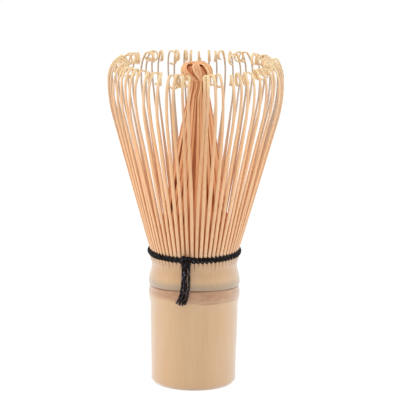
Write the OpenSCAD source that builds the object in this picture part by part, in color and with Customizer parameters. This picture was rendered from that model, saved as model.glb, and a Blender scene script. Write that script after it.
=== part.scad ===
// Bamboo tea whisk: one bamboo culm, its upper part split into staves of thin curled tines,
// bound by two twined threads whose knotted ends hang down the front.
// Origin at the centre of the foot, +Z up, front towards -Y, millimetres.

/* [Handle] */
// Outer diameter at the foot
base_d = 27.2; // [25:0.1:30]
// Outer diameter just below the node ring
shoulder_d = 28.2; // [26:0.1:30]
// Outer diameter of the two ridges of the bamboo node
node_d = 29.4; // [28:0.1:32]
// Outer diameter in the groove between the ridges
groove_d = 28.6; // [26:0.1:30]
// Outer diameter at the waist above the node
waist_d = 27.5; // [26:0.1:30]
// Outer diameter of the crown, where the thread sits
crown_d = 29; // [28:0.1:32]
// Diameter of the hollow in the foot
bore_d = 19; // [14:0.1:21]
// Wall of the crown, from its hollow to its outer face
crown_wall = 2.8; // [2.2:0.1:3.5]
// Radius of the rounded edge of the foot
foot_round = 1.2; // [0.4:0.1:2]

/* [Handle heights] */
// Height of the node groove
node_z = 32.5; // [27:0.1:33.5]
// Length of the swelling below the groove
ring_h = 7.2; // [4:0.1:9]
// Lower ridge below the groove
ridge_drop = 2.5; // [1.2:0.1:3.5]
// Upper ridge above the groove
ridge_rise = 1.1; // [0.6:0.1:2.5]
// Thickness of the wall that closes the culm at the node
septum_t = 4; // [2:0.1:6]
// Waist above the groove
waist_rise = 6.5; // [4:0.1:7]
// Height of the crown's top, where the tines begin to flex
crown_z = 44.4; // [43:0.1:49]
// Straight seat of the thread below the crown's top
seat_h = 2; // [1.8:0.1:2.4]
// Depth of the splits between the sticks
split_depth = 3.9; // [2.5:0.1:4.5]
// Width of the splits
split_w = 0.4; // [0.2:0.05:0.5]

/* [Tines] */
// Staves that the culm is first split into
staves = 16; // [8:1:16]
// Outer tines of each stave
outer_per_stave = 4; // [2:1:4]
// Inner tines of each stave
inner_per_stave = 2; // [1:1:2]
// Gap under each tine's root, which lets it flex
flex_gap = 0.2; // [0.15:0.05:0.4]
// Width of an outer tine at its root
outer_root_w = 1; // [0.6:0.05:1.05]
// Width of an outer tine at its tip
outer_tip_w = 0.7; // [0.4:0.05:0.75]
// Thickness of an outer tine at its root
outer_root_t = 0.7; // [0.4:0.05:1]
// Thickness of an outer tine at its tip
outer_tip_t = 0.3; // [0.2:0.05:0.4]
// Width of an inner tine at its root
inner_root_w = 1; // [0.6:0.05:1.1]
// Width of an inner tine at the neck of the bundle
inner_neck_w = 0.4; // [0.28:0.02:0.42]
// Width of an inner tine at its tip
inner_tip_w = 0.28; // [0.2:0.02:0.28]
// Thickness of an inner tine at its root
inner_root_t = 0.6; // [0.4:0.05:0.8]
// Thickness of an inner tine at its tip
inner_tip_t = 0.24; // [0.16:0.02:0.3]

/* [Outer ring of tines] */
// Height of the whisk
whisk_h = 106; // [98:0.5:114]
// Outer diameter of the head at its widest
head_d = 56.8; // [50:0.5:64]
// Radius of the tines' bend below the widest place
head_bend_r = 46; // [25:1:70]
// Radius of the tines' bend above the widest place
rim_bend_r = 10; // [7:0.5:13]
// Inward lean of the tines where the curl begins
rim_lean = 35; // [20:1:45]
// Radius of the curl at the tip
outer_curl_r = 1.8; // [1.4:0.1:2.2]
// Heading at which the curl ends, measured from straight up
outer_curl_end = 320; // [200:5:330]

/* [Inner bundle of tines] */
// Height of the bundle's top
bundle_h = 104.5; // [98:0.5:108]
// Diameter of the bundle at its neck, between the middles of its tines
neck_d = 6; // [5.8:0.1:8]
// Inward lean of the tines at the neck
gather_lean = 12.5; // [11:0.5:16]
// Radius of the tines' bend towards the neck
gather_r = 200; // [120:5:260]
// Radius of the bend that turns the tines outward above the neck
flare_r = 5; // [4.5:0.1:6]
// Outward lean of the tines where the curl begins
flare_lean = 50; // [46:1:56]
// Radius of the curl at the tip
inner_curl_r = 1.5; // [1:0.05:1.5]
// Heading at which the curl ends, measured from straight up
inner_curl_end = 270; // [180:5:290]

/* [Thread] */
// Diameter of the thread
thread_d = 0.65; // [0.45:0.05:0.7]
// Clearance between the thread and the crown
thread_gap = 0.05; // [0.02:0.01:0.2]
// Spacing of the two turns
thread_pitch = 1.15; // [1.12:0.01:1.2]
// Width of the knot
knot_w = 3.8; // [3:0.1:5]
// Height of the knot
knot_h = 2; // [1.8:0.1:2.2]
// Turn of the knot from the front, towards -X
knot_turn = 10.5; // [5:0.5:20]

/* [Hidden] */
function numbered(name, count) =
    [for (i = [1:count]) str(name, i < 10 ? "_0" : "_", i)];

OUTER = numbered("outer_tines", staves);
INNER = numbered("inner_tines", staves);
TAILS = ["thread_tail_1", "thread_tail_2", "thread_tail_3", "thread_tail_4"];

$fn = 96;
bamboo = [0.84, 0.70, 0.55];
tine_colour = [0.90, 0.71, 0.54];
bundle_colour = [0.93, 0.76, 0.58];
thread_colour = [0.13, 0.10, 0.11];
cut_over = 1; // how far a cutting solid runs past what it cuts

stave_angle = 360/staves;
outer_step = stave_angle/outer_per_stave;
inner_step = stave_angle/inner_per_stave;
crown_r = crown_d/2;
cavity_r = crown_r - crown_wall;
septum_bottom = node_z - septum_t/2;
septum_top = node_z + septum_t/2;
seat_z = crown_z - seat_h/2;
root_z = crown_z + flex_gap;
outer_root = [crown_r - outer_root_t/2, root_z];
inner_root = [cavity_r + inner_root_t/2, root_z];

// Widest place of the outer tines' middle line, set below the top by the bends above it
widest = [
    head_d/2 - outer_root_t/2,
    whisk_h - outer_tip_t/2 - rim_bend_r*sin(rim_lean) - outer_curl_r*(1 - sin(rim_lean))
];
// End of the inner tines' gathering bend, set below the bundle's top in the same way
neck = [
    neck_d/2,
    bundle_h - inner_tip_t/2 - flare_r*(sin(gather_lean) + sin(flare_lean))
        - inner_curl_r*(1 + sin(flare_lean))
];

// Thread: the radius of its turns, the half angle that the knot covers and the tails' routes
turn_r = crown_r + thread_gap + thread_d/2;
knot_r = crown_r + thread_gap + thread_d;
knot_half_angle = asin((knot_w/2 - thread_d)/turn_r);
knot_angle = 270 - knot_turn;
turn_rings = 48;
turn_sides = 6;
tail_sides = 8;
tail_routes = [
    [[-3.7, -15.25, 42.8], [-3.65, -15.25, 40], [-3.75, -15.1, 37], [-3.95, -14.95, 34],
        [-4.5, -14.8, 31.5], [-5.6, -14.35, 29.1]],
    [[-3.05, -15.5, 43.4], [-3.05, -15.95, 42], [-3.1, -15.75, 37], [-3.25, -15.6, 34],
        [-3.75, -15.35, 31.6], [-4.7, -14.9, 28.8]],
    [[-2.4, -15.5, 42.7], [-2.4, -15.5, 40], [-2.5, -15.3, 37], [-2.65, -15.25, 34],
        [-3, -15.2, 31.7], [-3.8, -14.95, 28.6]],
    [[-1.7, -15.6, 43.4], [-1.65, -16.05, 42], [-1.6, -15.9, 37], [-1.75, -15.75, 34],
        [-2.1, -15.6, 31.8], [-2.9, -15.25, 29]]
];

function unit(v) = v/norm(v);
function along(heading) = [-sin(heading), cos(heading)];
function outward(heading) = [cos(heading), sin(heading)];

// A line in the radius-height plane is a list of [point, heading]. A heading is the angle
// from straight up, positive towards the axis.
function last_of(line) = line[len(line) - 1];

// Adds an arc that turns to a new heading, in steps of at most the given angle
function add_arc(line, turn_radius, to, step) =
    let (
        from = last_of(line)[1],
        start = last_of(line)[0],
        signed_r = to > from ? turn_radius : -turn_radius,
        count = ceil(abs(to - from)/step)
    )
    concat(line, [
        for (i = [1:count])
            let (h = from + (to - from)*i/count)
                [start + signed_r*(outward(h) - outward(from)), h]
    ]);

// A straight stem from the root that runs into an inward bend ending at a point and heading
function stem(root, end, end_heading, bend_r) =
    let (
        centre = end - bend_r*outward(end_heading),
        reach = centre - root,
        heading = asin(-bend_r/norm(reach)) - atan2(reach.x, reach.y),
        straight = sqrt(reach*reach - bend_r*bend_r)
    )
    [[root, heading], [root + straight*along(heading), heading]];

function outer_line() =
    let (
        foot = stem(outer_root, widest, 0, head_bend_r),
        bent = add_arc(foot, head_bend_r, 0, 4),
        rim = add_arc(bent, rim_bend_r, rim_lean, 9)
    )
    add_arc(rim, outer_curl_r, outer_curl_end, 24);

function inner_line() =
    let (
        foot = stem(inner_root, neck, gather_lean, gather_r),
        gathered = add_arc(foot, gather_r, gather_lean, 1),
        flared = add_arc(gathered, flare_r, -flare_lean, 13)
    )
    add_arc(flared, inner_curl_r, inner_curl_end, 24);

// Length along a line from its start to each of its points
function run_lengths(line) = [
    for (i = 0, run = 0; i < len(line);
        run = run + (i + 1 < len(line) ? norm(line[i + 1][0] - line[i][0]) : 0), i = i + 1) run
];

// Side outline of a tine that thins from its root to its tip
function outline(line, root_t, tip_t) =
    let (
        run = run_lengths(line),
        last = len(line) - 1,
        half = [for (s = run) (root_t + (tip_t - root_t)*s/run[last])/2]
    )
    concat(
        [for (i = [0:last]) line[i][0] + half[i]*outward(line[i][1])],
        [for (i = [last:-1:0]) line[i][0] - half[i]*outward(line[i][1])]
    );

// Least clear gap between stretches of a tube that lie some rings apart
function least_gap(route, d, apart) =
    min([for (i = [0:len(route) - 1], j = [i + apart:1:len(route) - 1])
        norm(route[i] - route[j])]) - d;

// One turn of thread from one side of the knot round to the other. Its ends run straight
// into the knot for one thread diameter.
function turn_route(z) =
    let (
        from = knot_angle + knot_half_angle,
        sweep = 360 - 2*knot_half_angle,
        arc = [for (i = [0:turn_rings])
            let (a = from + sweep*i/turn_rings) [turn_r*cos(a), turn_r*sin(a), z]],
        lead_in = thread_d*[sin(from), -cos(from), 0],
        lead_out = thread_d*[-sin(from + sweep), cos(from + sweep), 0]
    )
    concat([arc[0] + lead_in], arc, [arc[turn_rings] + lead_out]);

upper_turn = turn_route(seat_z + thread_pitch/2);
lower_turn = turn_route(seat_z - thread_pitch/2);
echo(least_gap_in_a_turn = least_gap(upper_turn, thread_d, 4));
echo(least_gap_between_turns = thread_pitch - thread_d);

// Round tube along a route, with flat ends. The side vector is never along the route.
module tube(route, d, sides, side) {
    last = len(route) - 1;
    rings = [
        for (i = [0:last])
            let (
                t = unit(route[min(i + 1, last)] - route[max(i - 1, 0)]),
                u = unit(cross(side, t)),
                v = cross(t, u)
            )
            for (k = [0:sides - 1])
                route[i] + d/2*(cos(360*k/sides)*u + sin(360*k/sides)*v)
    ];
    wall = [
        for (i = [0:last - 1], k = [0:sides - 1])
            let (a = i*sides + k, b = i*sides + (k + 1)%sides)
                each [[a, a + sides, b + sides], [a, b + sides, b]]
    ];
    caps = [[for (k = [0:sides - 1]) k], [for (k = [sides - 1:-1:0]) last*sides + k]];
    polyhedron(rings, concat(wall, caps));
}

// Stations of the culm's outside, from the foot up: [radius, height]
function culm_stations() = [
    [base_d/2, foot_round],
    [shoulder_d/2, node_z - ring_h],
    [node_d/2, node_z - ridge_drop],
    [groove_d/2, node_z],
    [node_d/2, node_z + ridge_rise],
    [waist_d/2, node_z + waist_rise],
    [crown_r, crown_z - seat_h],
    [crown_r, crown_z]
];

// Smooth S-shaped runs between neighbouring stations
function eased(stations, steps) = concat(
    [stations[0]],
    [for (i = [1:len(stations) - 1], k = [1:steps])
        let (
            a = stations[i - 1],
            b = stations[i],
            f = k/steps,
            straight = a.x == b.x
        )
        if (!straight || k == steps)
            [a.x + (b.x - a.x)*(1 - cos(180*f))/2, a.y + (b.y - a.y)*f]]
);

function foot_edge() = [
    for (a = [-90:15:-15])
        [base_d/2 - foot_round + foot_round*cos(a), foot_round + foot_round*sin(a)]
];

module culm() {
    rotate_extrude()
        polygon(concat(
            [[bore_d/2, 0]],
            foot_edge(),
            eased(culm_stations(), 6),
            [[cavity_r, crown_z], [cavity_r, septum_top], [0, septum_top],
                [0, septum_bottom], [bore_d/2, septum_bottom]]
        ));
}

module splits() {
    for (i = [0:staves*outer_per_stave - 1])
        rotate(i*outer_step)
            translate([cavity_r - cut_over, -split_w/2, crown_z - split_depth])
                cube([crown_wall + 2*cut_over, split_w, split_depth + cut_over]);
}

module handle() {
    color(bamboo)
        difference() {
            culm();
            splits();
        }
}

// One tine in the plane y = 0: its side outline, cut to its front outline. The front outline
// is a list of [width, height] from the root up.
module tine(line, root_t, tip_t, widths) {
    last = len(widths) - 1;
    reach = max([for (p = line) p[0].x]) + root_t;
    intersection() {
        rotate([90, 0, 0])
            linear_extrude(widths[0].x + cut_over, center = true)
                polygon(outline(line, root_t, tip_t));
        rotate([90, 0, 90])
            linear_extrude(reach)
                polygon(concat(
                    [for (i = [0:last]) [widths[i].x/2, widths[i].y]],
                    [for (i = [last:-1:0]) [-widths[i].x/2, widths[i].y]]
                ));
    }
}

module outer_tines(stave) {
    line = outer_line();
    widths = [[outer_root_w, root_z - cut_over], [outer_tip_w, whisk_h + cut_over]];
    color(tine_colour)
        for (i = [0:outer_per_stave - 1])
            rotate(stave*stave_angle + (i + 0.5)*outer_step)
                tine(line, outer_root_t, outer_tip_t, widths);
}

// The inner tines stand on the last stick of each share of their stave
module inner_tines(stave) {
    line = inner_line();
    widths = [
        [inner_root_w, root_z - cut_over], [inner_neck_w, neck.y],
        [inner_tip_w, bundle_h + cut_over]
    ];
    color(bundle_colour)
        for (i = [1:inner_per_stave])
            rotate(stave*stave_angle + i*inner_step - 0.5*outer_step)
                tine(line, inner_root_t, inner_tip_t, widths);
}

module binding_thread(route) {
    color(thread_colour)
        tube(route, thread_d, turn_sides, [0, 0, 1]);
}

// Rounded lump with its back against the crown
module thread_knot() {
    color(thread_colour)
        difference() {
            rotate(knot_angle)
                translate([knot_r, 0, seat_z - (seat_h - knot_h)/2])
                    hull()
                        for (side = [-1, 1])
                            translate([0, side*(knot_w - knot_h)/2, 0])
                                sphere(d = knot_h, $fn = 24);
            translate([0, 0, seat_z - knot_h])
                cylinder(r = crown_r + thread_gap, h = 2*knot_h);
        }
}

module thread_tail(index) {
    color(thread_colour)
        tube(tail_routes[index], thread_d, tail_sides, [1, 0, 0]);
}

handle();
binding_thread(upper_turn);  // binding_thread_upper
binding_thread(lower_turn);  // binding_thread_lower
thread_knot();
for (i = [0:len(TAILS) - 1])
    thread_tail(i);
for (i = [0:staves - 1])
    outer_tines(i);
for (i = [0:staves - 1])
    inner_tines(i);
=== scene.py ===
"""The look of a bamboo tea whisk, built over its CAD frame.

The culm, the tines, the twined thread and the knot are surfaces worked out with numpy: a grid
of angle and height for the culm, and small outlines carried along paths for the rest. Sizes are
millimetres in the frame of the CAD model (origin at the foot, +Z up, front towards -Y) and are
turned into metres when a mesh is made. Named angles are degrees.
"""
import math

import bpy
import numpy as np
from mathutils import Euler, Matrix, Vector


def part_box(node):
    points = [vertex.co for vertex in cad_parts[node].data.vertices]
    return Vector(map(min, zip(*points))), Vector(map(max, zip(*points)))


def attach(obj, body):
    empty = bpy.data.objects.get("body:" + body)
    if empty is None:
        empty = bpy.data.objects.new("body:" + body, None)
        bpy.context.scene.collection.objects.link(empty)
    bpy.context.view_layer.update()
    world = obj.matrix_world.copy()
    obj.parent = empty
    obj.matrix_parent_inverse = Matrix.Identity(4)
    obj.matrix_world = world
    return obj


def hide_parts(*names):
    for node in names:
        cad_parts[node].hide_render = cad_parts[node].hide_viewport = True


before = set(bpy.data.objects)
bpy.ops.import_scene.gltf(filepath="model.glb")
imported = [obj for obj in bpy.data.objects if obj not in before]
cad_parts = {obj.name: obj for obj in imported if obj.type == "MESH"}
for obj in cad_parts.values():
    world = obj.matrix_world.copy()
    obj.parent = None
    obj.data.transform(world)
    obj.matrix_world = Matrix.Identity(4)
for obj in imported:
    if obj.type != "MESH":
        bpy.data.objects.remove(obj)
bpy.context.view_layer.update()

handle_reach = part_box("handle")[1]
MM = 0.001
UP = np.array([0.0, 0.0, 1.0])
RIGHT = np.array([1.0, 0.0, 0.0])
SEED = 64
rng = np.random.default_rng(SEED)

# Sizes of the CAD model: the node's radius and the crown's height are read from its handle
STAVES = 16
OUTER_PER_STAVE, INNER_PER_STAVE = 4, 2
STICKS = STAVES * OUTER_PER_STAVE
STICK_STEP = 360 / STICKS
STAVE_STEP = 360 / STAVES
WHISK_H = 106.0
NODE_R = round(handle_reach.x / MM, 2)
CROWN_Z = round(handle_reach.z / MM, 2)
BASE_R, SHOULDER_R, GROOVE_R, WAIST_R, CROWN_R = 13.6, 14.1, 14.3, 13.75, 14.5
BORE_R, CAVITY_R, FOOT_ROUND = 9.5, 11.7, 1.2
NODE_Z, RING_H, RIDGE_DROP, RIDGE_RISE, WAIST_RISE = 32.5, 7.2, 2.5, 1.1, 6.5
SEPTUM_T, SEAT_H, SPLIT_DEPTH, FLEX_GAP = 4.0, 2.0, 3.9, 0.2
SEAT_Z = CROWN_Z - SEAT_H / 2
ROOT_Z = CROWN_Z + FLEX_GAP
OUTER_ROOT_R, INNER_ROOT_R = 14.15, 12.0
RIM_BEND_R, RIM_LEAN = 10.0, 35.0
OUTER_CURL_R, OUTER_CURL_END = 1.8, 320.0
NECK_R, GATHER_LEAN, GATHER_R, INNER_CURL_END = 3.0, 12.5, 200.0, 270.0
KNOT_ANGLE = 259.5

# The photograph's view: a long lens from in front and above, rolled a little
VIEW_DISTANCE, VIEW_HEIGHT, VIEW_ASIDE = 1000.0, 270.0, 1.65
VIEW_TARGET_Z, VIEW_WIDTH, VIEW_ROLL = 60.0, 128.6, 0.5
SENSOR_W, NEAREST, FARTHEST = 36.0, 50.0, 20000.0


def make_camera():
    """Aims a long lens at the middle of the whisk, so that the frame spans the photograph's width."""
    place = Vector((VIEW_ASIDE, -VIEW_DISTANCE, VIEW_HEIGHT)) * MM
    target = Vector((VIEW_ASIDE, 0, VIEW_TARGET_Z)) * MM
    data = bpy.data.cameras.new("camera")
    data.sensor_width = SENSOR_W
    data.lens = SENSOR_W * (target - place).length / (VIEW_WIDTH * MM)
    data.clip_start = NEAREST * MM
    data.clip_end = FARTHEST * MM
    camera = bpy.data.objects.new("camera", data)
    bpy.context.scene.collection.objects.link(camera)
    camera.location = place
    aim = (target - place).to_track_quat("-Z", "Y").to_matrix()
    roll = Euler((0, 0, math.radians(VIEW_ROLL))).to_matrix()
    camera.rotation_euler = (aim @ roll).to_euler()
    bpy.context.scene.camera = camera


make_camera()


def smooth_step(low, high, value):
    """0 below low, 1 above high, and the smooth cubic 3f^2 - 2f^3 between."""
    f = np.clip((value - low) / (high - low), 0, 1)
    return f * f * (3 - 2 * f)


def bell(distance, reach):
    """1 at no distance, falling off on both sides as exp(-(distance / reach)^2)."""
    return np.exp(-(distance / reach) ** 2)


def unit(vectors):
    """Vectors along the last axis, each divided by its length."""
    return vectors / np.linalg.norm(vectors, axis=-1, keepdims=True)


def run_along(points):
    """Length along a line of points from its start to each of them."""
    steps = np.linalg.norm(np.diff(points, axis=0), axis=1)
    return np.concatenate([[0], np.cumsum(steps)])


def lattice_faces(rows, columns):
    """Quads of a grid of rows x columns points, closed round the columns."""
    index = np.arange(rows * columns).reshape(rows, columns)
    index = np.concatenate([index, index[:, :1]], axis=1)
    quads = np.stack([index[:-1, :-1], index[:-1, 1:], index[1:, 1:], index[1:, :-1]], axis=-1)
    return quads.reshape(-1, 4)


def make_piece(name, points, quads, material, body, replaced, caps=(), marks=None, uv=None):
    """Puts points (millimetres) and quads into a mesh, with point attributes and a UV map if given."""
    mesh = bpy.data.meshes.new(name)
    mesh.from_pydata((points * MM).tolist(), [], quads.tolist() + list(caps))
    for mark, values in (marks or {}).items():
        layer = mesh.attributes.new(mark, "FLOAT", "POINT")
        layer.data.foreach_set("value", np.ascontiguousarray(values, dtype=np.float32))
    if uv is not None:
        corners = np.zeros(len(mesh.loops), dtype=np.int32)
        mesh.loops.foreach_get("vertex_index", corners)
        layer = mesh.uv_layers.new(name="run")
        layer.data.foreach_set("uv", np.ascontiguousarray(uv[corners], dtype=np.float32).ravel())
    mesh.polygons.foreach_set("use_smooth", np.ones(len(mesh.polygons), dtype=bool))
    mesh.update()
    mesh.materials.append(material)
    piece = bpy.data.objects.new(name, mesh)
    bpy.context.scene.collection.objects.link(piece)
    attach(piece, body)
    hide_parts(*replaced)
    return piece


# Materials


class Nodes:
    """A new material and a short way to add shader nodes to it.

    An input is a value or another node's socket.
    """

    def __init__(self, name):
        self.material = bpy.data.materials.new(name)
        self.material.use_nodes = True
        self.tree = self.material.node_tree
        self.shader = self.tree.nodes["Principled BSDF"]

    def put(self, socket, value):
        """Links a socket to an input, or sets the input to a value."""
        if isinstance(value, bpy.types.NodeSocket):
            self.tree.links.new(value, socket)
        else:
            socket.default_value = value

    def add(self, kind, inputs=None, **settings):
        """A new node with its settings and inputs."""
        node = self.tree.nodes.new(kind)
        for key, value in settings.items():
            setattr(node, key, value)
        for key, value in (inputs or {}).items():
            self.put(node.inputs[key], value)
        return node

    def set(self, **inputs):
        """Inputs of the main shader, named with underscores for spaces."""
        for key, value in inputs.items():
            self.put(self.shader.inputs[key.replace("_", " ")], value)

    def mark(self, name):
        """A point attribute of the piece."""
        return self.add("ShaderNodeAttribute", attribute_name=name).outputs["Fac"]

    def grain(self, scale, detail=2.0):
        """Noise on object coordinates, scaled per axis so that it runs long along the fibres."""
        place = self.add("ShaderNodeTexCoord").outputs["Object"]
        along = self.add("ShaderNodeMapping", {"Vector": place, "Scale": scale}).outputs["Vector"]
        return self.noise(along, detail)

    def noise(self, place, detail):
        """Noise at its plain scale on the coordinates given."""
        inputs = {"Vector": place, "Scale": 1.0, "Detail": detail}
        return self.add("ShaderNodeTexNoise", inputs).outputs["Fac"]

    def ramp(self, factor, *stops):
        """Colours or plain greys at positions along the factor."""
        node = self.add("ShaderNodeValToRGB", {"Fac": factor})
        elements = node.color_ramp.elements
        while len(elements) < len(stops):
            elements.new(0.5)
        for element, (position, colour) in zip(elements, stops):
            element.position = position
            element.color = colour if isinstance(colour, tuple) else (colour, colour, colour, 1)
        return node.outputs["Color"]

    def mix(self, factor, first, second):
        """A mix of two colours, whose sockets come after the node's sockets for numbers and vectors."""
        node = self.add("ShaderNodeMix", data_type="RGBA")
        for socket, value in ((0, factor), (6, first), (7, second)):
            self.put(node.inputs[socket], value)
        return node.outputs[2]

    def times(self, value, factor):
        """A socket's value times a number."""
        return self.add("ShaderNodeMath", {0: value, 1: factor}, operation="MULTIPLY").outputs[0]

    def bump(self, height, strength, depth):
        """Tilts the shading by a height, up to a depth in millimetres."""
        inputs = {"Height": height, "Strength": strength, "Distance": depth * MM}
        self.set(Normal=self.add("ShaderNodeBump", inputs).outputs["Normal"])


def srgb(red, green, blue):
    """A colour given as it looks on screen, 0 to 255, as the linear values that shaders take."""
    c = np.array([red, green, blue]) / 255
    linear = np.where(c <= 0.04045, c / 12.92, ((c + 0.055) / 1.055) ** 2.4)
    return (*linear.tolist(), 1.0)


def culm_material():
    """Scraped bamboo: pale tan with long faint fibres, pinker on the node ring, dark in its groove, partly
    as painted shade.

    The coat and the sheen fade out in the groove, which is dull.
    """
    nodes = Nodes("culm_bamboo")
    fibre = nodes.grain((2600, 2600, 40))
    tan = nodes.ramp(
        nodes.grain((240, 240, 14), 3.0),
        (0.34, srgb(211, 168, 120)), (0.5, srgb(213, 171, 124)), (0.66, srgb(215, 174, 128)))
    lines = nodes.ramp(fibre, (0.35, srgb(190, 144, 100)), (0.65, srgb(232, 204, 170)))
    streaked = nodes.mix(0.1, tan, lines)
    patchy = nodes.ramp(
        nodes.grain((300, 300, 900), 3.0),
        (0.3, srgb(170, 121, 84)), (0.7, srgb(194, 145, 108)))
    warmed = nodes.mix(nodes.mark("upper"), streaked, srgb(192, 140, 94))
    ringed = nodes.mix(nodes.mark("ring"), warmed, patchy)
    scarred = nodes.mix(nodes.mark("scar"), ringed, srgb(160, 138, 112))
    # Painted shade under the ring's lower edge on the right
    edged = nodes.mix(nodes.mark("edge"), scarred, srgb(160, 112, 80))
    # The groove's dark colour is partly the node's own line and partly painted shade
    lined = nodes.mix(nodes.mark("groove"), edged, srgb(124, 84, 58))
    nodes.set(Base_Color=nodes.mix(nodes.mark("split"), lined, srgb(166, 112, 70)))
    nodes.bump(fibre, 0.12, 0.12)
    smooth = nodes.ramp(nodes.mark("groove"), (0.05, 1.0), (0.6, 0.0))
    nodes.set(Roughness=0.5, Specular_IOR_Level=0.4)
    nodes.set(Sheen_Weight=nodes.times(smooth, 0.7), Sheen_Roughness=0.45)
    nodes.set(Coat_Weight=smooth, Coat_Roughness=0.3, Coat_IOR=1.65)
    return nodes.material


def tine_material(name, dark, inside, *stops):
    """Split bamboo: its colour runs through the stops from root to tip.

    The dark colour tints its fibres and the darker tines and sides, where part of the darkening is
    painted shade, and the inside colour lies on the face towards the axis, partly as its own colour
    and partly as painted shade.
    """
    nodes = Nodes(name)
    fibre = nodes.grain((1800, 1800, 60))
    along = nodes.ramp(nodes.mark("run"), *stops)
    streaked = nodes.mix(nodes.ramp(fibre, (0.38, 0.2), (0.6, 0.0)), along, dark)
    toned = nodes.mix(nodes.mark("tone"), streaked, dark)
    nodes.set(Base_Color=nodes.mix(nodes.mark("inside"), toned, inside))
    nodes.bump(fibre, 0.15, 0.1)
    nodes.set(Roughness=0.48, Specular_IOR_Level=0.4)
    return nodes.material


def thread_material():
    """Dark cotton: near black with slanting fibres and pale streaks of painted highlight, which show most
    where it hangs.
    """
    nodes = Nodes("dark_thread")
    place = nodes.add("ShaderNodeUVMap", uv_map="run").outputs["UV"]
    slant = nodes.add("ShaderNodeMapping", {"Vector": place, "Rotation": (0, 0, 0.6)}).outputs["Vector"]
    waves = {"Vector": slant, "Scale": 3.0, "Distortion": 1.5}
    lay = nodes.add("ShaderNodeTexWave", waves).outputs["Fac"]
    long_way = nodes.add("ShaderNodeMapping", {"Vector": place, "Scale": (0.5, 4, 1)}).outputs["Vector"]
    highlight_noise = nodes.noise(long_way, 2.0)
    fibres = nodes.ramp(lay, (0.2, srgb(8, 5, 4)), (0.85, srgb(25, 17, 15)))
    spot = nodes.add("ShaderNodeTexCoord").outputs["Object"]
    height = nodes.add("ShaderNodeSeparateXYZ", {"Vector": spot}).outputs["Z"]
    hanging = {
        "Value": height, "From Min": (SEAT_Z - 1) * MM, "From Max": (SEAT_Z - 3) * MM,
        "To Min": 0.35, "To Max": 1.0}
    pale = nodes.add("ShaderNodeMapRange", hanging).outputs["Result"]
    # The pale streaks are painted highlights, strongest on the hanging ends
    streaks = nodes.mix(pale, (0, 0, 0, 1), nodes.ramp(highlight_noise, (0.58, 0.0), (0.68, 0.95)))
    nodes.set(Base_Color=nodes.mix(streaks, fibres, srgb(186, 174, 192)))
    nodes.bump(lay, 0.4, 0.08)
    nodes.set(Roughness=0.5, Specular_IOR_Level=0.12)
    return nodes.material


CULM = culm_material()
# The outer tines' pale first stop is a painted highlight on the root just above the thread, and their
# greyish inside colour is partly painted shade on the inner faces at the back
OUTER_TINE = tine_material(
    "outer_tine_bamboo", srgb(212, 146, 94), srgb(206, 194, 180),
    (0.0, srgb(252, 218, 182)), (0.035, srgb(252, 208, 165)), (0.4, srgb(255, 206, 158)),
    (0.52, srgb(254, 205, 156)), (0.7, srgb(252, 209, 164)), (0.82, srgb(252, 215, 174)),
    (0.89, srgb(255, 233, 189)))
# The inner tines' dark first and last stops are painted shade at the bundle's foot and inside the head's
# hollows, and their darker inside colour is painted shade within the bundle
INNER_TINE = tine_material(
    "inner_tine_bamboo", srgb(214, 120, 64), srgb(214, 124, 74),
    (0.0, srgb(150, 92, 54)), (0.25, srgb(253, 188, 136)), (0.5, srgb(255, 200, 147)),
    (0.78, srgb(255, 203, 151)), (0.84, srgb(255, 211, 161)), (0.92, srgb(255, 205, 154)),
    (0.96, srgb(226, 142, 88)))
THREAD = thread_material()

# The culm

# Where points lie from one stick's middle to the next's, in shares of that step: close together at the
# split between them, whose half width is a share of it too
STICK_GRID = np.array([-0.5, -0.3, -0.2, -0.155, -0.11, 0.0, 0.11, 0.155, 0.2, 0.3])
SLIT_HALF = 0.13
# A split starts as a shallow line, somewhat below the CAD model's and unevenly round the culm, and is
# deep at the thread
SPLIT_LOWER, SPLIT_UNEVEN, SHALLOW_CUT, SHALLOW_RISE, DEEP_CUT = 0.7, 0.9, 0.5, 2.4, 1.7
# The breaks and rounds of the wall's edges, and how near the wall at the node comes to the axis
BORE_BREAK, CROWN_BREAK, HOLLOW_ROUND, AXIS_GAP = 0.3, 0.1, 0.6, 0.01
PROFILE_STEPS = 11


def eased_profile(stations, steps):
    """Radius and height along stations, joined by half cosine waves."""
    pieces = [np.array([stations[0]])]
    f = np.arange(1, steps + 1)[:, None] / steps
    for (r0, z0), (r1, z1) in zip(stations[:-1], stations[1:]):
        pieces.append(np.hstack([r0 + (r1 - r0) * (1 - np.cos(np.pi * f)) / 2, z0 + (z1 - z0) * f]))
    return np.vstack(pieces)


def culm_profile():
    """Radius and height round the culm's wall: under the foot, up the outside and down the hollows.

    Also gives how many of the points belong to the foot and the outside.
    """
    bevel = BASE_R - 0.75 * FOOT_ROUND
    foot = np.array([
        (BORE_R + BORE_BREAK, 0), (bevel - 0.15, 0), (bevel, 0.05),
        (BASE_R - 0.12, FOOT_ROUND - 0.2), (BASE_R, FOOT_ROUND)])
    outside = eased_profile([
        (BASE_R, FOOT_ROUND), (SHOULDER_R, NODE_Z - RING_H), (NODE_R, NODE_Z - RIDGE_DROP),
        (GROOVE_R, NODE_Z), (NODE_R - 0.1, NODE_Z + 0.4), (NODE_R, NODE_Z + RIDGE_RISE),
        (WAIST_R, NODE_Z + WAIST_RISE), (CROWN_R, CROWN_Z - SEAT_H), (CROWN_R, CROWN_Z)],
        PROFILE_STEPS)[1:]
    top, bottom = NODE_Z + SEPTUM_T / 2, NODE_Z - SEPTUM_T / 2
    inside = np.array([
        (CAVITY_R + CROWN_BREAK, CROWN_Z), (CAVITY_R, CROWN_Z - CROWN_BREAK),
        (CAVITY_R, top + HOLLOW_ROUND), (CAVITY_R - HOLLOW_ROUND, top), (AXIS_GAP, top),
        (AXIS_GAP, bottom), (BORE_R - HOLLOW_ROUND, bottom), (BORE_R, bottom - HOLLOW_ROUND),
        (BORE_R, BORE_BREAK)])
    return np.vstack([foot, outside, inside]), len(foot) + len(outside)


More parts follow.
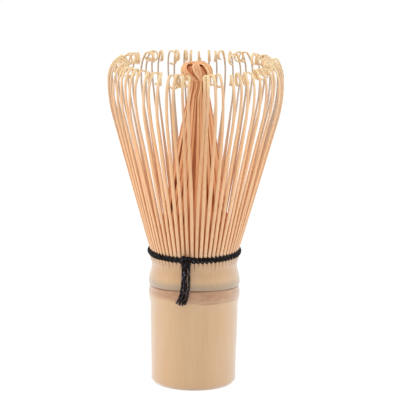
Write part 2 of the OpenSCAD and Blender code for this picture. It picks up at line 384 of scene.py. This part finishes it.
def culm_marks(angle, below, depth):
    """How strongly each finish and each painted shade shows, from 0 to 1.

    It goes by the angle, the drop below the groove and a split's depth. The coloured ring
    reaches from the groove down to ring_low, which slants and waves round the culm; it is fainter
    towards the sides and on the far right, painted paler where those sides catch the light, and has a
    dark lower edge on the right, a painted shade under its swell. The scar lies above the groove,
    whose strength varies; the groove's dark line is partly the node's own line and partly painted
    shade in the groove and under the ridge above it.
    """
    ring_low = 2.95 + 0.4 * np.cos(angle) - 0.65 * np.sin(angle) + 0.12 * np.sin(9 * angle)
    ring = smooth_step(-0.2, 0.1, below) * (1 - smooth_step(ring_low - 1.0, ring_low + 0.4, below))
    # The ring is stronger at the front and fainter on the far right: painted paler light on the sides
    front = smooth_step(0.3, 1, -np.sin(angle))
    right = smooth_step(-0.2, 0.8, np.cos(angle + 0.5))
    far_right = smooth_step(0.3, 0.9, np.cos(angle))
    uneven = 0.75 + 0.25 * np.sin(2 * angle + 1) * np.sin(5 * angle)
    return {
        "upper": 0.28 * (1 - smooth_step(-6, -3, below)),
        "ring": (0.78 + 0.17 * front) * (1 - 0.2 * far_right) * ring,
        "scar": 0.8 * smooth_step(-3.8, -0.8, below) * (1 - smooth_step(-0.1, 0.2, below)),
        # painted shade under the ring's swell, on the right
        "edge": 0.75 * right * bell(below - ring_low, 0.22),
        # the node's dark line, with painted shade in the groove and under the ridge above it
        "groove": uneven * bell(below + 0.05, 0.26),
        "split": smooth_step(0.1, 0.8, depth)}


def make_culm():
    """Turns the profile round the axis and cuts the splits between the sticks into its top.

    A point's radius is the profile's less the split's depth, which grows over the splits' height and
    is zero outside their width, plus a slight wobble by sines of the angle. Near the node the height
    dips at the sides by a cosine of twice the angle.
    """
    profile, outer_rows = culm_profile()
    across = STICK_GRID * STICK_STEP
    angle = np.radians((np.arange(STICKS)[:, None] * STICK_STEP + across).ravel())
    slit = np.tile(np.abs(across) < SLIT_HALF * STICK_STEP, STICKS)
    radius, height = (np.repeat(profile[:, k:k + 1], len(angle), axis=1) for k in (0, 1))
    outer = (np.arange(len(profile)) < outer_rows)[:, None]
    uneven = SPLIT_UNEVEN * np.sin(angle * 7) * np.sin(angle * 17 + 1)
    start = CROWN_Z - SPLIT_DEPTH - SPLIT_LOWER + uneven
    shallow = SHALLOW_CUT * smooth_step(0, SHALLOW_RISE, height - start)
    deep = DEEP_CUT * smooth_step(SEAT_Z - 0.8, SEAT_Z + 0.4, height)
    depth = (shallow + deep) * slit * outer
    wobble = 0.06 * np.sin(3 * angle + 0.7) + 0.04 * np.sin(5 * angle)
    grown = radius - depth + wobble * smooth_step(4, 20, height) * outer * (radius > CAVITY_R)
    level = height + (0.2 - 0.35 * np.cos(2 * angle)) * bell(height - NODE_Z, 4) * outer
    points = np.stack([grown * np.cos(angle), grown * np.sin(angle), level], axis=-1).reshape(-1, 3)
    marks = {
        key: np.broadcast_to(value * outer, radius.shape).ravel()
        for key, value in culm_marks(angle, NODE_Z - height, depth).items()}
    columns = len(angle)
    last = (len(profile) - 1) * columns + np.arange(columns)
    first = np.arange(columns)
    seam = np.stack([last, np.roll(last, -1), np.roll(first, -1), first], axis=-1)
    quads = np.vstack([lattice_faces(len(profile), columns), seam])
    return make_piece("culm", points, quads, CULM, "handle", ["handle"], marks=marks)


# The tines

# How much darker a tine's narrow split sides are than its faces, low down: partly their own colour
# and partly painted shade between the close tines
SIDE_TONE_AND_SHADE = 0.58


def bent_line(start, runs):
    """A line in the radius-height plane, followed through runs of (length, heading at the end, steps).

    The heading is the angle from straight up, positive towards the axis. It starts as the first run's
    and changes evenly along each run, and the points are the running sum of the small steps along the
    mean headings.
    """
    heading = [runs[0][1]]
    step = []
    for length, end, steps in runs:
        before = heading[-1]
        heading += (before + (end - before) * np.arange(1, steps + 1) / steps).tolist()
        step += [length / steps] * steps
    heading = np.radians(heading)
    step = np.array(step)
    middle = (heading[1:] + heading[:-1]) / 2
    radius = start[0] + np.concatenate([[0], np.cumsum(-np.sin(middle) * step)])
    height = start[1] + np.concatenate([[0], np.cumsum(np.cos(middle) * step)])
    return radius, height, np.concatenate([[0], np.cumsum(step)])


def sine(degrees):
    """Sine of an angle in degrees."""
    return math.sin(math.radians(degrees))


def arc_length(radius, turn):
    """Length of an arc of that radius through a turn in degrees."""
    return radius * math.radians(abs(turn))


def stem_to(root, end, end_heading, bend_r):
    """Heading and straight length of a stem from the root that runs into a bend ending at a point.

    The bend's centre stands a bend's radius aside of the end, square to the heading there, and the stem
    is the tangent from the root to that circle.
    """
    a = math.radians(end_heading)
    reach_r = end[0] - bend_r * math.cos(a) - root[0]
    reach_z = end[1] - bend_r * math.sin(a) - root[1]
    reach = math.hypot(reach_r, reach_z)
    heading = math.degrees(math.asin(-bend_r / reach) - math.atan2(reach_r, reach_z))
    return heading, math.sqrt(reach * reach - bend_r * bend_r)


def strip(centre, width_way, width, thickness):
    """Carries a rounded rectangle along a line.

    The outline is (cos a, sin a) with each part raised to a power below 1, which squares it. Its
    width lies along width_way and its thickness along the cross product with the line's direction.
    """
    corners, square = 10, 0.55
    direction = unit(np.gradient(centre, axis=0))
    side = unit(width_way - direction * np.sum(width_way * direction, axis=1, keepdims=True))
    face = np.cross(direction, side)
    a = 2 * np.pi * (np.arange(corners) + 0.5) / corners
    across = np.sign(np.cos(a)) * np.abs(np.cos(a)) ** square / 2
    through = np.sign(np.sin(a)) * np.abs(np.sin(a)) ** square / 2
    points = (centre[:, None, :]
              + side[:, None, :] * (width[:, None] * across)[..., None]
              + face[:, None, :] * (thickness[:, None] * through)[..., None])
    return points.reshape(-1, 3), lattice_faces(len(centre), corners), corners


def join_strips(strips):
    """One set of points, quads and end caps from several strips, with marks for their looks.

    The marks are the run from root to tip, the tone, which is darker on the narrow sides low down,
    partly as painted shade between the close tines, and the strength of the inside colour on the face
    towards the axis, partly its own colour and partly painted shade.
    """
    points, quads, caps, run, tone, inside = [], [], [], [], [], []
    base = 0
    for (spots, faces, corners), along, shade, inner_colour_and_shade in strips:
        ring = np.arange(corners)
        points.append(spots)
        quads.append(faces + base)
        caps.append((base + ring[::-1]).tolist())
        caps.append((base + len(spots) - corners + ring).tolist())
        run.append(np.repeat(along, corners))
        narrow = np.abs(np.cos(2 * np.pi * (ring + 0.5) / corners)) > 0.9
        darker = np.outer(SIDE_TONE_AND_SHADE * (1 - smooth_step(0.2, 0.6, along)), narrow)
        tone.append((np.reshape(shade, (-1, 1)) + darker).ravel())
        inside.append(np.outer(inner_colour_and_shade, ring < corners // 2).ravel())
        base += len(spots)
    marks = {"run": np.concatenate(run), "tone": np.concatenate(tone), "inside": np.concatenate(inside)}
    return np.vstack(points), np.vstack(quads), caps, marks


# The outer tines

# The widest ring of the tines' middles, a little inside the CAD model's, with a tighter bend below it,
# and how far the rim stays below the top and dips at the front and the back
HEAD_R, HEAD_BEND_R, RIM_CLEARANCE, RIM_DIP = 27.9, 42.0, 0.15, 1.1
# A tine's root: how far it goes down past the CAD model's, how much of it is upright and then turns,
# how far out the tine stands, and how far its foot is set in
OUTER_SUNK, UPRIGHT, TURN_OUT, ROOT_OUT, ROOT_INSET = 0.7, 0.3, 0.8, 0.1, 0.2
OUTER_CURL_STEPS = 34
# What is drawn for each tine: a mean and a spread, or limits
LEAN_SPREAD, TOP_SPREAD, REACH_SPREAD, DRIFT_SPREAD, BOW_SPREAD = 5.0, 0.3, 0.3, 0.45, 0.35
CURL_SIZE, CURL_SIZE_SPREAD, CURL_SHORT, CURL_SHORT_SPREAD = 0.94, 0.1, 30.0, 35.0
CURL_TURN = (12, 42)
CLINGS = [0.05, 0.3, 0.55]
# Which way a stave's curls turn: at its edges towards its middle, clear of the next stave's, and
# otherwise as drawn; an edge tine drifts only so far towards the next stave
CURL_WAYS = [1] + [0] * (OUTER_PER_STAVE - 2) + [-1]
EDGE_DRIFT = 0.2
# Curls at the back keep facing forward, two tines at the front part, and front tines are warmer: how
# much, and over how many degrees
BACK_FACING, FRONT_PARTING, FRONT_WARMTH = (0.85, 22), (1.2, 6), (0.2, 18)


def from_front(angle):
    """Degrees from the front, positive towards +X."""
    return (angle + 90 + 180) % 360 - 180


def outer_look(angle, share):
    """Width, thickness, tone and inside colour with painted shade of an outer tine along its run.

    Towards the back its upper part is slimmer and its inner face greyer, a painted shade on that face,
    and near the front its middle is warmer.
    """
    slim = 0.6 + 0.4 * float(smooth_step(-0.2, 0.5, -sine(angle)))
    width = np.interp(
        share, [0, 0.12, 0.33, 0.46, 0.65, 0.85, 1],
        [1.08, 1.1, 1.26, 1.16 * (1 + slim) / 2, 0.94 * slim, 0.86 * slim, 1.06])
    width *= rng.uniform(0.92, 1.06)
    thickness = np.interp(share, [0, 0.7, 1], [0.72, 0.6, 0.5])
    warmth, reach = FRONT_WARMTH
    middle = smooth_step(0.3, 0.5, share) * (1 - smooth_step(0.83, 0.89, share))
    tone = np.clip(rng.normal(0.1, 0.1), 0, 0.3) + warmth * bell(from_front(angle), reach) * middle
    inner_colour_and_shade = smooth_step(0.2, 0.75, share) * (1 - smooth_step(0.84, 0.92, share))
    return width, thickness, tone, (1.6 - 1.1 * slim) * inner_colour_and_shade


def outer_tine(angle, cling, way):
    """One outer tine: up through the thread, leaning out, bent in at the rim and curled at its tip.

    Its curl turns sideways about the upright by a drawn angle, which comes in over the curl's first
    part and is small at the back. It clings to its neighbour by that much sideways, most at two thirds
    of its run, and drifts aside as the square of its run.
    """
    a = math.radians(angle)
    out_way = np.array([math.cos(a), math.sin(a), 0])
    side_way = np.array([-math.sin(a), math.cos(a), 0])
    off_front = from_front(angle)
    rim_lean = RIM_LEAN + rng.normal(0, LEAN_SPREAD)
    curl_r = OUTER_CURL_R * (CURL_SIZE + rng.normal(0, CURL_SIZE_SPREAD))
    curl_end = OUTER_CURL_END + rng.normal(-CURL_SHORT, CURL_SHORT_SPREAD)
    held_back, reach = BACK_FACING
    yaw = math.radians(rng.uniform(*CURL_TURN)) * (1 - held_back * bell(180 - abs(off_front), reach))
    drawn_way = rng.choice([-1, 1])
    yaw *= way or drawn_way
    drift = rng.normal(0, DRIFT_SPREAD)
    if way:
        drift = way * max(way * drift, -EDGE_DRIFT)
    parting, reach = FRONT_PARTING
    drift += parting * math.copysign(bell(off_front, reach), off_front)
    bow = rng.normal(0, BOW_SPREAD)
    top = WHISK_H - RIM_CLEARANCE - RIM_DIP * math.sin(a) ** 2 - abs(rng.normal(0, TOP_SPREAD))
    widest_z = top - RIM_BEND_R * sine(rim_lean) - curl_r * (1 - sine(rim_lean))
    widest_r = HEAD_R - abs(rng.normal(0, REACH_SPREAD))
    heading, straight = stem_to((OUTER_ROOT_R, ROOT_Z), (widest_r, widest_z), 0, HEAD_BEND_R)
    radius, height, run = bent_line((OUTER_ROOT_R + ROOT_OUT, ROOT_Z - OUTER_SUNK), [
        (UPRIGHT, 0, 1), (TURN_OUT, heading, 4),
        (straight + OUTER_SUNK - UPRIGHT - TURN_OUT, heading, 14),
        (arc_length(HEAD_BEND_R, heading), 0, 12), (arc_length(RIM_BEND_R, rim_lean), rim_lean, 10),
        (arc_length(curl_r, curl_end - rim_lean), curl_end, OUTER_CURL_STEPS)])
    share = run / run[-1]
    curl_from = len(run) - 1 - OUTER_CURL_STEPS
    turn = yaw * smooth_step(run[curl_from], run[curl_from] + 1.4 * curl_r, run)
    inward = np.where(np.arange(len(run)) > curl_from, radius[curl_from] - radius, 0)
    held = smooth_step(0.1, 0.55, share) * (1 - smooth_step(0.68, 0.84, share))
    sideways = (drift * share ** 2 + bow * np.sin(2 * np.pi * share) * share + inward * np.sin(turn)
                + cling * held)
    radial = radius + inward * (1 - np.cos(turn)) - ROOT_INSET * (1 - smooth_step(0, 0.03, share))
    centre = radial[:, None] * out_way + sideways[:, None] * side_way + height[:, None] * UP
    width_way = np.cos(turn)[:, None] * side_way + np.sin(turn)[:, None] * out_way
    width, thickness, tone, inner_colour_and_shade = outer_look(angle, share)
    return strip(centre, width_way, width, thickness), share, tone, inner_colour_and_shade


def make_outer_tines(stave):
    """The outer tines of a stave, which cling in pairs, as one piece on that stave's body."""
    name = f"outer_tines_{stave + 1:02d}"
    first = stave * STAVE_STEP + STICK_STEP / 2
    pairs = OUTER_PER_STAVE // 2
    clings = np.repeat(rng.choice(CLINGS, pairs), 2) * np.tile([1, -1], pairs)
    tines = [outer_tine(first + i * STICK_STEP, clings[i], CURL_WAYS[i]) for i in range(OUTER_PER_STAVE)]
    points, quads, caps, marks = join_strips(tines)
    return make_piece(
        f"{name}_split_bamboo", points, quads, OUTER_TINE, name, [name], caps, marks)


# The inner tines

INNER_SUNK = 0.6
# The head of the bundle: fuller than the CAD model's, with hollows between clumps of tips
HEAD_TOP, NECK_BEND, NECK_LENGTH, HEAD_FLARE_R, HEAD_FLARE_LEAN = 104.88, 5.0, 1.5, 0.9, 70.0
HEAD_CURL_R, HEAD_STRETCH = 2.25, 1.22
NECK_ASIDE, HEAD_BACK = 0.9, 0.9
# What is drawn for each tine: spreads, or limits
INNER_CURL_SPREAD, FLARE_SPREAD, GATHER_SPREAD, STRAY_SPREAD = 0.05, 3.0, 0.4, 3.2
NECK_SPREAD, HEAD_DROP = 0.3, 0.4
# A core tine against the others: its size, further lean, drop, twist, inset, width and darker tone,
# which is painted shade inside the bundle and its hollows
CORE_SIZE, CORE_LEAN, CORE_DROP, CORE_TWIST = 0.84, 3.0, 0.9, 20.0
CORE_INSET, CORE_WIDTH, CORE_SHADE_TONE = 0.2, 1.2, 0.6
# Steps along a tine's sunk root, stem, gathering bend, neck's bend, neck, flare and curl, and the
# steps at which its neck, its curl and the low part of its head begin
SUNK_STEPS, STEM_STEPS, GATHER_STEPS, BEND_STEPS, NECK_STEPS, FLARE_STEPS = 2, 14, 14, 5, 2, 12
INNER_CURL_STEPS = 36
NECK_AT = SUNK_STEPS + STEM_STEPS + GATHER_STEPS
CURL_AT = NECK_AT + BEND_STEPS + NECK_STEPS + FLARE_STEPS
HEAD_AT = CURL_AT - FLARE_STEPS // 4
# Each clump's edges at the neck, low on the head and high on it, and how far its middle sways
# aside, in degrees from the front towards +X
CLUMPS = [
    ((-12, 30), (20, 26), (-22, 23), 3),
    ((30, 110), (54, 110), (38, 102), 4),
    ((110, 200), (116, 196), (108, 186), 0),
    ((200, 275), (204, 268), (194, 258), 0),
    ((275, 348), (276, 377), (266, 314), 8),
]


def parted(angle):
    """Where a tine lies low and high on the head and how far it sways aside between, by its clump.

    The tines spread evenly between the clump's edges, as they do at the neck.
    """
    first_edge = CLUMPS[0][0][0]
    d = (angle + 90 - first_edge) % 360 + first_edge
    neck, low, high, sway = next(clump for clump in CLUMPS if d <= clump[0][1])
    share = (d - neck[0]) / (neck[1] - neck[0])
    low_place, high_place = (angle - d + edge[0] + share * (edge[1] - edge[0]) for edge in (low, high))
    return low_place, high_place, sway


def inner_look(share, core):
    """Width, thickness, tone and inside colour with painted shade of an inner tine along its run.

    A core tine is wider, and darker with painted shade inside the bundle.
    """
    width = np.interp(
        share, [0, 0.4, 0.6, 0.7, 0.77, 0.83, 0.93, 1],
        [1.15, 1.08, 0.84, 0.58, 0.53, 0.74, 0.74, 0.5])
    width *= rng.uniform(0.88, 1.1) * (CORE_WIDTH if core else 1)
    thickness = np.interp(share, [0, 0.78, 1], [0.6, 0.36, 0.22])
    tone = CORE_SHADE_TONE if core else np.clip(rng.normal(0.16, 0.16), 0, 0.5)
    return width, thickness, tone, 0.75 * (1 - smooth_step(0.72, 0.84, share))


def inner_tine(angle, core):
    """One inner tine: in towards the neck of the bundle, out over the head and curled into its middle.

    Above the neck it moves round to its clump's place low on the head, then high on it, and so keeps
    out of the hollows. The bundle leans aside up to its neck, and its head comes back over the axis. A
    core tine lies within the others and curls tighter.
    """
    size = CORE_SIZE if core else 1
    curl_r = HEAD_CURL_R * size * (1 + rng.normal(0, INNER_CURL_SPREAD))
    flare = HEAD_FLARE_LEAN + rng.normal(0, FLARE_SPREAD)
    gather = GATHER_LEAN + (CORE_LEAN if core else 0) + rng.normal(0, GATHER_SPREAD)
    neck_r = (NECK_R - rng.uniform(-NECK_SPREAD, NECK_SPREAD)) * size
    rise = (NECK_BEND * sine(gather) + NECK_LENGTH + HEAD_FLARE_R * sine(flare)
            + HEAD_STRETCH * curl_r * (1 + sine(flare)))
    neck_z = HEAD_TOP - rise - rng.uniform(0, HEAD_DROP) - (CORE_DROP if core else 0)
    heading, straight = stem_to((INNER_ROOT_R, ROOT_Z), (neck_r, neck_z), gather, GATHER_R)
    radius, height, run = bent_line((INNER_ROOT_R, ROOT_Z - INNER_SUNK), [
        (INNER_SUNK, heading, SUNK_STEPS), (straight, heading, STEM_STEPS),
        (arc_length(GATHER_R, gather - heading), gather, GATHER_STEPS),
        (arc_length(NECK_BEND, gather), 0, BEND_STEPS), (NECK_LENGTH, 0, NECK_STEPS),
        (arc_length(HEAD_FLARE_R, flare), -flare, FLARE_STEPS),
        (arc_length(curl_r, INNER_CURL_END + flare), INNER_CURL_END, INNER_CURL_STEPS)])
    curled = np.arange(len(run)) > CURL_AT
    height = height + (HEAD_STRETCH - 1) * np.where(curled, height - height[CURL_AT], 0)
    share = run / run[-1]
    neck_run, head_run = run[NECK_AT], run[HEAD_AT]
    low, high, sway = (angle, angle - CORE_TWIST, 0) if core else parted(angle)
    stray = rng.normal(0, STRAY_SPREAD) * np.sin(np.pi * np.clip(share / 0.8, 0, 1))
    turned = np.radians(
        angle + stray + (low - angle) * smooth_step(neck_run - 2, head_run, run)
        + (high - low) * smooth_step(head_run - 1, head_run + 5, run)
        + sway * np.sin(np.pi * np.clip((run - head_run) / 5.5, 0, 1)))
    out_way = np.stack([np.cos(turned), np.sin(turned), 0 * turned], axis=-1)
    side_way = np.stack([-np.sin(turned), np.cos(turned), 0 * turned], axis=-1)
    aside = (NECK_ASIDE * smooth_step(ROOT_Z, neck_z, height)
             - HEAD_BACK * smooth_step(neck_run - 2, neck_run + 9, run))
    inset = 1 - (CORE_INSET if core else 0) * np.sin(np.pi * np.clip((share - 0.1) / 0.7, 0, 1))
    centre = (radius * inset)[:, None] * out_way + height[:, None] * UP + aside[:, None] * RIGHT
    width, thickness, tone, inner_colour_and_shade = inner_look(share, core)
    return strip(centre, side_way, width, thickness), share, tone, inner_colour_and_shade


def make_inner_tines(stave):
    """The inner tines of a stave with as many core tines between, as one piece on that stave's body."""
    name = f"inner_tines_{stave + 1:02d}"
    step = STAVE_STEP / INNER_PER_STAVE / 2
    first = stave * STAVE_STEP + 2 * step - STICK_STEP / 2
    tines = [inner_tine(first + i * step, i % 2 == 1) for i in range(INNER_PER_STAVE * 2)]
    points, quads, caps, marks = join_strips(tines)
    return make_piece(
        f"{name}_split_bamboo", points, quads, INNER_TINE, name, [name], caps, marks)


# The thread

# The thread hangs round and is pressed flat where it goes round the crown: it flattens between two
# heights below its seat
THREAD_D, PRESSED_T, PRESSED_H = 0.72, 0.85, 1.2
PRESS_BEGINS, PRESS_ENDS = 2.6, 0.8
PLIES, PLY_PITCH, PLY_SWELL = 3, 2.4, 0.1
YARN_CORNERS, YARN_END = 15, 0.75
# Spacing along a thread's route, and points in a span of it, in a stick's part of the turn and in the knot
ROUTE_STEP, SPAN_POINTS, STICK_POINTS, KNOT_POINTS = 0.16, 24, 6, 150
TWINE_R, TWINE_SWING, TWINE_RISE, TWINE_TILT = 14.32, 0.42, 0.54, 0.15
# Each thread's winds start and end at gaps between sticks, on either side of the knot
FIRST_WIND, SECOND_WIND = (47 * STICK_STEP, 108 * STICK_STEP), (48 * STICK_STEP, 109 * STICK_STEP)
# The knot: its trefoil's scale across and up, how far out and up it stands, and its thread
KNOT_ACROSS, KNOT_UP, KNOT_OUT, KNOT_SWING, KNOT_LIFT, KNOT_THREAD_D = 0.44, 0.46, 1.6, 0.42, 0.1, 1.1
# The hanging ends as the CAD model has them, from the knot down
TAIL_ROUTES = [
    [(-3.7, -15.25, 42.8), (-3.65, -15.25, 40), (-3.75, -15.1, 37), (-3.95, -14.95, 34),
     (-4.5, -14.8, 31.5), (-5.6, -14.35, 29.1)],
    [(-3.05, -15.5, 43.4), (-3.05, -15.95, 42), (-3.1, -15.75, 37), (-3.25, -15.6, 34),
     (-3.75, -15.35, 31.6), (-4.7, -14.9, 28.8)],
    [(-2.4, -15.5, 42.7), (-2.4, -15.5, 40), (-2.5, -15.3, 37), (-2.65, -15.25, 34),
     (-3, -15.2, 31.7), (-3.8, -14.95, 28.6)],
    [(-1.7, -15.6, 43.4), (-1.65, -16.05, 42), (-1.6, -15.9, 37), (-1.75, -15.75, 34),
     (-2.1, -15.6, 31.8), (-2.9, -15.25, 29)],
]


def spline_through(points, spacing):
    """A smooth curve through points, cut into even steps of about the spacing.

    Each span is a Hermite cubic whose end slopes are those of the parabola through a point and its
    two neighbours, measured along the run.
    """
    knots = run_along(points)
    slope = np.gradient(points, knots, axis=0)[:, None, :]
    span = np.diff(knots)[:, None, None]
    t = np.linspace(0, 1, SPAN_POINTS, endpoint=False)[None, :, None]
    here, there = points[:-1, None, :], points[1:, None, :]
    eased = t * t * (3 - 2 * t)
    curve = (here + (there - here) * eased
             + span * (slope[:-1] * t * (1 - t) ** 2 - slope[1:] * t * t * (1 - t)))
    curve = np.vstack([curve.reshape(-1, 3), points[-1:]])
    run = run_along(curve)
    even = np.linspace(0, run[-1], int(run[-1] / spacing))
    return np.stack([np.interp(even, run, curve[:, k]) for k in range(3)], axis=-1)


def twined_turn(phase, span):
    """One turn of a thread that winds about its fellow, half a wind for each stick.

    Radius = middle + swing * sin(half the sticks * angle + phase), height likewise with the cosine,
    plus a tilt * sin(angle) that lowers the front.
    """
    angle = np.radians(np.linspace(*span, STICKS * STICK_POINTS))
    wind = STICKS / 2 * angle + phase
    radius = TWINE_R + TWINE_SWING * np.sin(wind)
    height = SEAT_Z + TWINE_TILT * np.sin(angle) + TWINE_RISE * np.cos(wind)
    return np.stack([radius * np.cos(angle), radius * np.sin(angle), height], axis=-1)


def strand_route(phase, span, first_tail, last_tail):
    """From the end of one hanging tail up to the knot, once round the crown and down the other tail."""
    up = np.array(first_tail)[::-1]
    down = np.array(last_tail)
    return spline_through(np.vstack([up, twined_turn(phase, span), down]), ROUTE_STEP)


def yarn(centre, thick, high):
    """A tube of twisted plies along a line that never runs straight out from the axis.

    Each ring stands on the direction out from the axis, less its part along the line, with half the
    thickness on it and half the height across it. Both are times 1 + swell * cos(plies * (corner angle
    - twist)), with the twist growing evenly.
    """
    direction = unit(np.gradient(centre, axis=0))
    out_way = unit(centre * np.array([1, 1, 0]))
    side = unit(out_way - direction * np.sum(out_way * direction, axis=1, keepdims=True))
    face = np.cross(direction, side)
    run = run_along(centre)
    ring = np.arange(YARN_CORNERS)
    a = 2 * np.pi * ring / YARN_CORNERS
    twist = 2 * np.pi * run / PLY_PITCH / PLIES
    half = 0.5 * (1 + PLY_SWELL * np.cos(PLIES * (a - twist[:, None])))
    half[[0, -1]] *= YARN_END
    points = (centre[:, None, :] + (thick[:, None] * half * np.cos(a))[..., None] * side[:, None, :]
              + (high[:, None] * half * np.sin(a))[..., None] * face[:, None, :])
    uv = np.stack(np.broadcast_arrays(run[:, None], a / np.pi), axis=-1).reshape(-1, 2)
    caps = [ring[::-1].tolist(), ((len(centre) - 1) * YARN_CORNERS + ring).tolist()]
    return points.reshape(-1, 3), lattice_faces(len(centre), YARN_CORNERS), caps, uv, run[-1]


def make_strand(name, phase, span, first, last, turn_node):
    """One binding thread with its two hanging ends."""
    centre = strand_route(phase, span, TAIL_ROUTES[first], TAIL_ROUTES[last])
    pressed = smooth_step(SEAT_Z - PRESS_BEGINS, SEAT_Z - PRESS_ENDS, centre[:, 2])
    thick, high = (THREAD_D + (size - THREAD_D) * pressed for size in (PRESSED_T, PRESSED_H))
    points, quads, caps, uv, length = yarn(centre, thick, high)
    nodes = [turn_node, f"thread_tail_{first + 1}", f"thread_tail_{last + 1}"]
    piece = make_piece(name, points, quads, THREAD, "handle", nodes, caps, uv=uv)


def make_knot():
    """The tied threads: a trefoil pressed on the crown.

    It is sin t + 2 sin 2t across, cos t - 2 cos 2t up, and swings in and out by sin 3t.
    """
    t = np.linspace(0, 2 * np.pi, KNOT_POINTS)
    across = (np.sin(t) + 2 * np.sin(2 * t)) * KNOT_ACROSS
    up = (np.cos(t) - 2 * np.cos(2 * t)) * KNOT_UP
    out = CROWN_R + KNOT_OUT - KNOT_SWING * np.sin(3 * t)
    angle = math.radians(KNOT_ANGLE) + across / out
    centre = np.stack([out * np.cos(angle), out * np.sin(angle), SEAT_Z + KNOT_LIFT + up], axis=-1)
    even = np.full(len(t), KNOT_THREAD_D)
    points, quads, caps, uv, _ = yarn(centre, even, even)
    return make_piece(
        "tied_knot", points, quads, THREAD, "handle", ["thread_knot"], caps, uv=uv)


make_strand("binding_thread_first", math.pi, FIRST_WIND, 1, 0, "binding_thread_upper")
make_strand("binding_thread_second", 0.0, SECOND_WIND, 3, 2, "binding_thread_lower")
make_knot()
make_culm()
for stave in range(STAVES):
    make_outer_tines(stave)
for stave in range(STAVES):
    make_inner_tines(stave)

# The studio

SKY_STRENGTH = 0.4
FLOOR_HALF, FLOOR_GLOW, FLOOR_WHITE = 4000.0, 1.12, 0.8
LIGHT_TARGET_Z = 60.0
# Each soft box: its place, size, power and tint
SOFT_BOXES = {
    "left_box": ((-800, 0, 350), 700, 4.2, (1.0, 0.97, 0.93)),
    "right_box": ((800, 0, 350), 700, 3.4, (0.93, 0.97, 1.0)),
    "front_box": ((0, -900, 300), 500, 1.4, (1, 1, 1)),
    "top_box": ((0, -100, 1000), 600, 2.4, (1, 1, 1)),
}


def seen_directly(tree):
    """A socket that is 1 for rays from the camera, from a gloss or through glass, and 0 for lighting."""
    path = tree.nodes.new("ShaderNodeLightPath")
    seen = path.outputs["Is Camera Ray"]
    for ray in ("Is Glossy Ray", "Is Transmission Ray"):
        either = tree.nodes.new("ShaderNodeMath")
        either.operation = "MAXIMUM"
        tree.links.new(seen, either.inputs[0])
        tree.links.new(path.outputs[ray], either.inputs[1])
        seen = either.outputs[0]
    return seen


def make_floor():
    """A wide pale floor, white to the camera but for part of the shadow that falls on it."""
    nodes = Nodes("pale_floor")
    nodes.set(Base_Color=(0.9, 0.9, 0.9, 1), Roughness=0.9)
    glow = nodes.add("ShaderNodeEmission", {"Color": (1, 1, 1, 1), "Strength": FLOOR_GLOW})
    seen = nodes.times(seen_directly(nodes.tree), FLOOR_WHITE)
    shaders = {0: seen, 1: nodes.shader.outputs[0], 2: glow.outputs[0]}
    both = nodes.add("ShaderNodeMixShader", shaders)
    nodes.put(nodes.tree.nodes["Material Output"].inputs["Surface"], both.outputs[0])
    mesh = bpy.data.meshes.new("floor")
    half = FLOOR_HALF * MM
    corners = [(-half, -half, 0), (half, -half, 0), (half, half, 0), (-half, half, 0)]
    mesh.from_pydata(corners, [], [(0, 1, 2, 3)])
    mesh.materials.append(nodes.material)
    floor = bpy.data.objects.new("floor", mesh)
    bpy.context.scene.collection.objects.link(floor)


def make_world(strength):
    """A soft even sky that lights the object, white where the camera or a reflection sees it."""
    world = bpy.data.worlds.new("studio")
    bpy.context.scene.world = world
    world.use_nodes = True
    tree = world.node_tree
    sky = tree.nodes["Background"]
    sky.inputs["Color"].default_value = (1, 1, 1, 1)
    sky.inputs["Strength"].default_value = strength
    white = tree.nodes.new("ShaderNodeBackground")
    white.inputs["Strength"].default_value = 1.0
    both = tree.nodes.new("ShaderNodeMixShader")
    tree.links.new(seen_directly(tree), both.inputs[0])
    tree.links.new(sky.outputs[0], both.inputs[1])
    tree.links.new(white.outputs[0], both.inputs[2])
    tree.links.new(both.outputs[0], tree.nodes["World Output"].inputs["Surface"])


def make_light(name, place, size, power, colour):
    """A square soft box at a place in millimetres that faces the middle of the whisk."""
    data = bpy.data.lights.new(name, "AREA")
    data.shape = "SQUARE"
    data.size = size * MM
    data.energy = power
    data.color = colour
    light = bpy.data.objects.new(name, data)
    bpy.context.scene.collection.objects.link(light)
    light.location = Vector(place) * MM
    target = Vector((0, 0, LIGHT_TARGET_Z)) * MM
    light.rotation_euler = (target - light.location).to_track_quat("-Z", "Y").to_euler()
    light.visible_glossy = False


make_floor()
make_world(SKY_STRENGTH)
for name, soft_box in SOFT_BOXES.items():
    make_light(name, *soft_box)
bpy.context.scene.view_settings.view_transform = "Standard"
